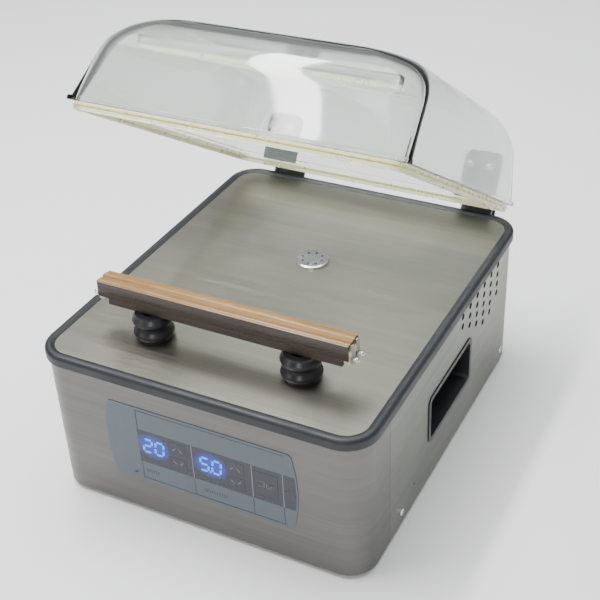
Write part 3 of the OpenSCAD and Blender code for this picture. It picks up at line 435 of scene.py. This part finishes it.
def skin(rings, along=False, caps=False):
    """Faces that join closed rings of equal length; along closes the ring list too."""
    n, m = len(rings[0]), len(rings)
    verts = [p for ring in rings for p in ring]
    faces = []
    for j in range(m if along else m - 1):
        for i in range(n):
            a, b = j * n + i, j * n + (i + 1) % n
            c, d = ((j + 1) % m) * n + (i + 1) % n, ((j + 1) % m) * n + i
            faces.append((a, b, c, d))
    if caps:
        faces.append(tuple(reversed(range(n))))
        faces.append(tuple((m - 1) * n + i for i in range(n)))
    return verts, faces


def rounded_ring(x0, x1, y0, y1, r, z, steps=20):
    """Points round a rounded rectangle, anticlockwise from the +X side."""
    ring = []
    for q, (sx, sy) in enumerate(((1, 1), (-1, 1), (-1, -1), (1, -1))):
        cx = (x1 - r) if sx > 0 else (x0 + r)
        cy = (y1 - r) if sy > 0 else (y0 + r)
        for i in range(steps + 1):
            a = math.radians(90 * q + 90 * i / steps)
            ring.append((cx + r * math.cos(a), cy + r * math.sin(a), z))
    return ring


def round_corners(points, radius, steps=4):
    """A closed 2D outline with each corner rounded; radius is one number or one per corner."""
    out = []
    n = len(points)
    for i, p in enumerate(points):
        r = radius[i] if hasattr(radius, "__len__") else radius
        p, before, after = Vector(p), Vector(points[i - 1]), Vector(points[(i + 1) % n])
        a, b = (before - p), (after - p)
        if r <= 0:
            out.append(tuple(p))
            continue
        reach = min(r, a.length * 0.49, b.length * 0.49)
        start, end = p + a.normalized() * reach, p + b.normalized() * reach
        for k in range(steps + 1):
            t = k / steps
            out.append(tuple(start * (1 - t) ** 2 + p * 2 * t * (1 - t) + end * t ** 2))
    return out


END_REACH = 12.0      # an outline is about this far from its centre


def bar_along_x(name, outline, x0, x1, y, look, body, slot, bevel, place=None):
    """A closed Y-Z outline carried along X, with its two ends eased by bevel."""
    cy = sum(p[0] for p in outline) / len(outline)
    cz = sum(p[1] for p in outline) / len(outline)
    rings = []
    for x, inset in ((x0, bevel), (x0 + bevel, 0), (x1 - bevel, 0), (x1, bevel)):
        shrink = inset / END_REACH
        rings.append([(x, y + p[0] + (cy - p[0]) * shrink, p[1] + (cz - p[1]) * shrink)
                      for p in outline])
    return piece(name, *skin(rings, caps=True), look, body, slot, place=place)


def lid_box(node):
    """A lid node's box in mm with the lid closed, in the row frame."""
    back = LID.inverted()
    points = [back @ v.co / MM for v in frame["nodes"][node].data.vertices]
    return (Vector([min(p[k] for p in points) for k in range(3)]),
            Vector([max(p[k] for p in points) for k in range(3)]))


# ---------------------------------------------------------------- lid

FLANGE_T = 4.0        # flange thickness
FLANGE_R = 12.0       # its corner radius seen from above
WALL = 6.0            # acrylic thickness
EDGE = 2.0            # ledge outside the wall at the front and sides
REAR_EDGE = 0.2
FRONT_DRAFT = 0.23    # the front wall leans back this much for each mm of height
SIDE_DRAFT = 0.12
BLEND = 41.0          # top radius at the front and sides
REAR_BLEND = 41.0
FOOT_R = 14.0         # the dome's corner radius at the flange and at its top
TOP_R = 36.0
GASKET_R = 12.0

dome_lo, dome_hi = lid_box("lid_dome")
DOME_H = dome_hi.z - dome_lo.z - FLANGE_T


def blend_in(r, u):
    return 0.0 if u <= 0 else r - math.sqrt(max(r * r - u * u, 0.0))


def dome_ring(t, wall):
    """The dome's outline t above the flange, wall mm inside the outer skin."""
    height = max(t, 0)
    inset = EDGE + wall + blend_in(BLEND - wall, t - DOME_H + BLEND)
    side = inset + SIDE_DRAFT * height
    rear = REAR_EDGE + wall + blend_in(REAR_BLEND - wall, t - DOME_H + REAR_BLEND)
    corner = FOOT_R + (TOP_R - FOOT_R) * height / DOME_H
    return rounded_ring(dome_lo.x + side, dome_hi.x - side,
                        dome_lo.y + inset + FRONT_DRAFT * height, dome_hi.y - rear,
                        corner - wall, dome_lo.z + FLANGE_T + t)


def dome_rings(wall):
    levels = [DOME_H - BLEND + (BLEND - wall) * math.sin(math.radians(90 * i / 28))
              for i in range(29)]
    foot = [0.0] if wall else [levels[0] * k / 4 for k in range(4)]
    return [dome_ring(t, wall) for t in foot + levels]


def flange_ring(inset, z):
    return rounded_ring(dome_lo.x + inset, dome_hi.x - inset, dome_lo.y + inset,
                        dome_hi.y - inset, FLANGE_R - inset, dome_lo.z + z)


EASE = 0.9            # rounding of the flange edges
flange = [flange_ring(EASE - EASE * math.sin(a), EASE - EASE * math.cos(a))
          for a in [math.radians(15 * i) for i in range(7)]]
flange += [flange_ring(EASE - EASE * math.cos(a), FLANGE_T - EASE + EASE * math.sin(a))
           for a in [math.radians(15 * i) for i in range(7)]]
inner = dome_rings(WALL)
inner[0] = dome_ring(-FLANGE_T, WALL)
dome = piece("lid_shell", *skin(list(reversed(inner)) + flange + dome_rings(0), caps=True),
             acrylic, "lid", "clear_acrylic", smooth=50, place=LID)
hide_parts("lid_dome")

# gasket: a hollow-looking lip profile, inset under the flange
gasket_lo, gasket_hi = lid_box("lid_gasket")
GASKET_H = gasket_hi.z - gasket_lo.z
GASKET = round_corners([(0.0, GASKET_H - 0.05), (0.0, 0.9), (0.9, 0.0), (3.4, 0.0),
                        (4.6, 1.6), (5.4, 3.6), (9.0, 4.6), (9.0, GASKET_H - 0.05)],
                       [0.3, 0.8, 0.8, 1.4, 1.4, 1.2, 0.8, 0.3])
gasket_rings = [rounded_ring(gasket_lo.x + u, gasket_hi.x - u, gasket_lo.y + u,
                             gasket_hi.y - u, GASKET_R - u, gasket_lo.z + z)
                for u, z in GASKET]
gasket = piece("lid_seal_ring", *skin(gasket_rings, along=True), silicone, "lid", "silicone",
               place=LID)
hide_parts("lid_gasket")

# an amber bead runs round the gasket's outer face, just under the flange: painted light, its colour stands for the
# tan glow of light passing through the gasket's edge
BEAD_R = 0.9
BEAD_DROP = 2.6       # its centre below the flange
bead_rings = []
for i in range(9):
    a = math.radians(90 + 180 * i / 8)
    u, z = BEAD_R * math.cos(a), GASKET_H - BEAD_DROP + BEAD_R * math.sin(a)
    bead_rings.append(rounded_ring(gasket_lo.x + u, gasket_hi.x - u, gasket_lo.y + u,
                                   gasket_hi.y - u, GASKET_R - u, gasket_lo.z + z))
piece("lid_seal_bead", *skin(bead_rings, along=True), amber, "lid", "silicone", place=LID)

# the clear rail in the front of the dome: a grooved bar
rail_lo, rail_hi = lid_box("counter_rail")
strip_lo, strip_hi = lid_box("counter_strip")
RAIL_H = 8.0
rail_y = (rail_lo.y + rail_hi.y) / 2
rail_half = (rail_hi.y - rail_lo.y) / 2
strip_half = (strip_hi.y - strip_lo.y) / 2 + 0.1
foot, head = rail_lo.z, rail_lo.z + RAIL_H
groove = strip_hi.z + 0.05
rail_outline = round_corners([(-rail_half, foot), (-rail_half, head), (rail_half, head),
                              (rail_half, foot), (strip_half, foot), (strip_half, groove),
                              (-strip_half, groove), (-strip_half, foot)],
                             [0.4, 1.2, 1.2, 0.4, 0.3, 0.3, 0.3, 0.3])
rail = bar_along_x("counter_rail_clear", rail_outline, rail_lo.x, rail_hi.x, rail_y, acrylic,
                   "lid", "clear_acrylic", bevel=0.4, place=LID)
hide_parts("counter_rail")

# ---------------------------------------------------------------- seal bar

channel_lo, channel_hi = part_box("bar_channel")
BAR_Y = ((channel_lo.y + channel_hi.y) / 2 - CENTRE.y) / MM
BAR_Z = (channel_lo.z / MM, channel_hi.z / MM)
BAR_HALF = (channel_hi.y - channel_lo.y) / 2 / MM
BAR_X = channel_hi.x / MM
RIDGE = 0.35          # the heating wires lift the tape by this much
WIRE_Y = 4.8          # distance of each wire from the bar's centre line
WIRE_HALF = 1.6
SLOPE = 0.8           # the tape slopes off each wire over this width
SHELL = 1.5

top = BAR_Z[1] - RIDGE
outline = [(-BAR_HALF, BAR_Z[0]), (-BAR_HALF, top)]
for s in (-1, 1):
    outline += [(s * WIRE_Y - WIRE_HALF - SLOPE, top), (s * WIRE_Y - WIRE_HALF, top + RIDGE),
                (s * WIRE_Y + WIRE_HALF, top + RIDGE), (s * WIRE_Y + WIRE_HALF + SLOPE, top)]
outline += [(BAR_HALF, top), (BAR_HALF, BAR_Z[0]), (BAR_HALF - SHELL, BAR_Z[0]),
            (BAR_HALF - SHELL, top - SHELL), (SHELL - BAR_HALF, top - SHELL),
            (SHELL - BAR_HALF, BAR_Z[0])]
radii = [0.5, 1.1] + [0.5] * 8 + [1.1, 0.5, 0.5, 0.6, 0.6, 0.5]
channel = bar_along_x("tape_covered_bar", round_corners(outline, radii), -BAR_X, BAR_X, BAR_Y,
                      tape, "seal_bar", "ptfe_tape", bevel=0.0)
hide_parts("bar_channel")

# ---------------------------------------------------------------- panel print

PRINT_T = 0.06
overlay_lo, overlay_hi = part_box("control_overlay")
FILM_Y = (overlay_lo.y - CENTRE.y) / MM


def stroke(points, width, closed=False):
    """A flat line of the given width along X-Z points, with mitred corners."""
    pts = [Vector(p) for p in points]
    n = len(pts)
    sides = [[], []]
    for i, p in enumerate(pts):
        before = pts[i - 1] if (i or closed) else None
        after = pts[(i + 1) % n] if (i < n - 1 or closed) else None
        d0 = (p - before).normalized() if before is not None else (after - p).normalized()
        d1 = (after - p).normalized() if after is not None else d0
        normal = Vector((-(d0.y + d1.y), d0.x + d1.x)).normalized()
        reach = width / 2 / max(0.35, normal.dot(Vector((-d0.y, d0.x))))
        sides[0].append(p + normal * reach)
        sides[1].append(p - normal * reach)
    quads = n if closed else n - 1
    return [(sides[0][i], sides[0][(i + 1) % n], sides[1][(i + 1) % n], sides[1][i])
            for i in range(quads)]


def printed(name, quads, look, body, slot, proud=0.0):
    """Ink or a thin inlay on the front film: quads of X-Z points given a small thickness."""
    verts, faces = [], []
    for quad in quads:
        k = len(verts)
        for y in (FILM_Y - proud - PRINT_T, FILM_Y - proud + 0.02):
            verts += [(p[0], y, p[1]) for p in quad]
        faces += [(k, k + 1, k + 2, k + 3), (k + 7, k + 6, k + 5, k + 4)]
        faces += [(k + i, k + 4 + i, k + 4 + (i + 1) % 4, k + (i + 1) % 4) for i in range(4)]
    return piece(name, verts, faces, look, body, slot)


LINE = 0.8
FRAME_X, FRAME_END = -57.0, 85.0
FRAME_TOP, FRAME_BOTTOM = 119.0, 43.5
band_lo, band_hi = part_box("display_window")
BAND = (band_lo.z / MM, band_hi.z / MM)
DIVIDERS = (-3.7, 54.0, 83.0)
lines = stroke([(FRAME_END, FRAME_TOP), (FRAME_X, FRAME_TOP), (FRAME_X, BAND[1])], LINE)
lines += stroke([(FRAME_X, BAND[0]), (FRAME_X, FRAME_BOTTOM), (FRAME_END, FRAME_BOTTOM)], LINE)
for x in DIVIDERS:
    lines += stroke([(x, BAND[0]), (x, FRAME_BOTTOM)], LINE)
printed("overlay_lines", lines, print_dark, "housing", "dark_film")
light = []
for x in DIVIDERS:
    light += stroke([(x, BAND[1]), (x, BAND[0])], LINE)
printed("band_dividers", light, print_light, "housing", "overlay_film", 0.05)

# generic captions: rows of short strokes where the real film has words
CAPTIONS = ((-53.0, 53.0, 6), (6.0, 52.5, 10))      # left end, height, strokes
CAPTION_PITCH = 2.4
CAPTION_HALF = 1.6
STEM, BRANCH = 0.7, 0.5
captions = []
for x0, z, count in CAPTIONS:
    for i in range(count):
        x = x0 + CAPTION_PITCH * i
        branch_z = z + (1.4 if i % 2 else -1.4)
        captions += stroke([(x, z - CAPTION_HALF), (x, z + CAPTION_HALF)], STEM)
        captions += stroke([(x + 0.35, branch_z), (x + 1.5, branch_z)], BRANCH)
STEP_MARK = [(-67.0, 46.5), (-64.4, 46.5), (-64.4, 48.0), (-61.8, 48.0)]
captions += stroke(STEP_MARK, STEM)
printed("overlay_captions", captions, print_dark, "housing", "dark_film")

CHEVRON = (4.6, 2.6)  # half its width and height
CHEVRON_LINE = 1.0
for name, up in (("key_time_up", 1), ("key_time_down", -1), ("key_seal_up", 1),
                 ("key_seal_down", -1)):
    lo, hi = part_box(name)
    x, z = (lo.x + hi.x) / 2 / MM, (lo.z + hi.z) / 2 / MM
    body = next(b for b, names in frame["record"]["behaviour"]["bodies"].items()
                if name in names)
    mark = stroke([(x - CHEVRON[0], z - up * CHEVRON[1]), (x, z + up * CHEVRON[1]),
                   (x + CHEVRON[0], z - up * CHEVRON[1])], CHEVRON_LINE)
    printed(name + "_mark", mark, print_light, body, "overlay_film", 0.07)

lo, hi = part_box("key_stop")
x, z = (lo.x + hi.x) / 2 / MM, (lo.z + hi.z) / 2 / MM
LETTER = (2.5, 5.2)
LETTER_PITCH = 3.6
LETTER_LINE = 0.6
LETTERS = [[[(1, 1), (0, 1), (0, 0.5), (1, 0.5), (1, 0), (0, 0)]],
           [[(0, 1), (1, 1)], [(0.5, 1), (0.5, 0)]],
           [[(0, 0), (0, 1), (1, 1), (1, 0), (0, 0)]],
           [[(0, 0), (0, 1), (1, 1), (1, 0.5), (0, 0.5)]]]
word = []
for k, paths in enumerate(LETTERS):
    x0 = x + (k - 2) * LETTER_PITCH + 0.5
    for path in paths:
        word += stroke([(x0 + p[0] * LETTER[0], z + (p[1] - 0.5) * LETTER[1]) for p in path],
                       LETTER_LINE)
printed("key_stop_word", word, print_stop, "stop_key", "overlay_film", 0.07)

# ---------------------------------------------------------------- stage

FLOOR_HALF = 6.0
floor_mesh = bpy.data.meshes.new("floor")
floor_mesh.from_pydata([(-FLOOR_HALF, -FLOOR_HALF, 0), (FLOOR_HALF, -FLOOR_HALF, 0),
                        (FLOOR_HALF, FLOOR_HALF, 0), (-FLOOR_HALF, FLOOR_HALF, 0)], [],
                       [(0, 1, 2, 3)])
floor = bpy.data.objects.new("floor", floor_mesh)
floor_look = Look("floor_paper", (0.86, 0.86, 0.86), 0.9)
floor_look.blend(floor_look.ramp(floor_look.noise(3.0), 0.0, 0.3), (0.83, 0.83, 0.83))
floor_mesh.materials.append(floor_look.mat)
bpy.context.scene.collection.objects.link(floor)
floor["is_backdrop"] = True

# a studio that is dim near the horizon and bright overhead
world = bpy.context.scene.world or bpy.data.worlds.new("world")
bpy.context.scene.world = world
world.use_nodes = True
sky = world.node_tree
direction = sky.nodes.new("ShaderNodeTexCoord")
split = sky.nodes.new("ShaderNodeSeparateXYZ")
height = sky.nodes.new("ShaderNodeValToRGB")
sky.links.new(direction.outputs["Generated"], split.inputs[0])
sky.links.new(split.outputs["Z"], height.inputs[0])
sky.links.new(height.outputs["Color"], sky.nodes["Background"].inputs["Color"])
ramp = height.color_ramp
ramp.elements[0].position, ramp.elements[0].color = 0.02, (0.24, 0.245, 0.26, 1)
ramp.elements[1].position, ramp.elements[1].color = 0.85, (0.95, 0.97, 1.0, 1)
middle = ramp.elements.new(0.45)
middle.color = (0.34, 0.345, 0.34, 1)
sky.nodes["Background"].inputs["Strength"].default_value = 1.0


def softbox(name, place, aim, size, power):
    light = bpy.data.lights.new(name, "AREA")
    light.shape = "RECTANGLE"
    light.size, light.size_y = size
    light.energy = power
    obj = bpy.data.objects.new(name, light)
    obj.location = place
    obj.rotation_mode = "QUATERNION"
    obj.rotation_quaternion = (Vector(aim) - Vector(place)).to_track_quat("-Z", "Y")
    bpy.context.scene.collection.objects.link(obj)


softbox("overhead", (-0.3, 0.3, 2.1), (0, 0, 0.1), (2.2, 1.6), 50)
softbox("long_box", (-0.61, -0.11, 1.67), (-0.05, -0.10, 0.38), (1.5, 0.12), 32)
softbox("tall_box", (0.35, -1.45, 1.25), (0.1, -0.1, 0.3), (0.25, 0.7), 7)
softbox("front_fill", (-1.4, -1.6, 1.0), (0, 0, 0.1), (0.8, 0.8), 4)

# camera: eye and target from the housing centre, and its roll about the line of sight
EYE = Vector((0.4361, -0.7929, 0.7368))
TARGET = Vector((-0.0176, 0.0439, 0.100))
ROLL = 0.0486
camera = bpy.data.cameras.new("camera")
camera.sensor_width = 36.0
camera.lens = 69.73
camera_object = bpy.data.objects.new("camera", camera)
forward = (TARGET - EYE).normalized()
right = forward.cross(Vector((0, 0, 1))).normalized()
down = forward.cross(right)
right, down = (right * math.cos(ROLL) + down * math.sin(ROLL),
               down * math.cos(ROLL) - right * math.sin(ROLL))
axes = Matrix((right, -down, -forward)).transposed()
camera_object.matrix_world = Matrix.Translation(EYE + CENTRE) @ axes.to_4x4()
bpy.context.scene.collection.objects.link(camera_object)
bpy.context.scene.camera = camera_object

lo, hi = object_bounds()
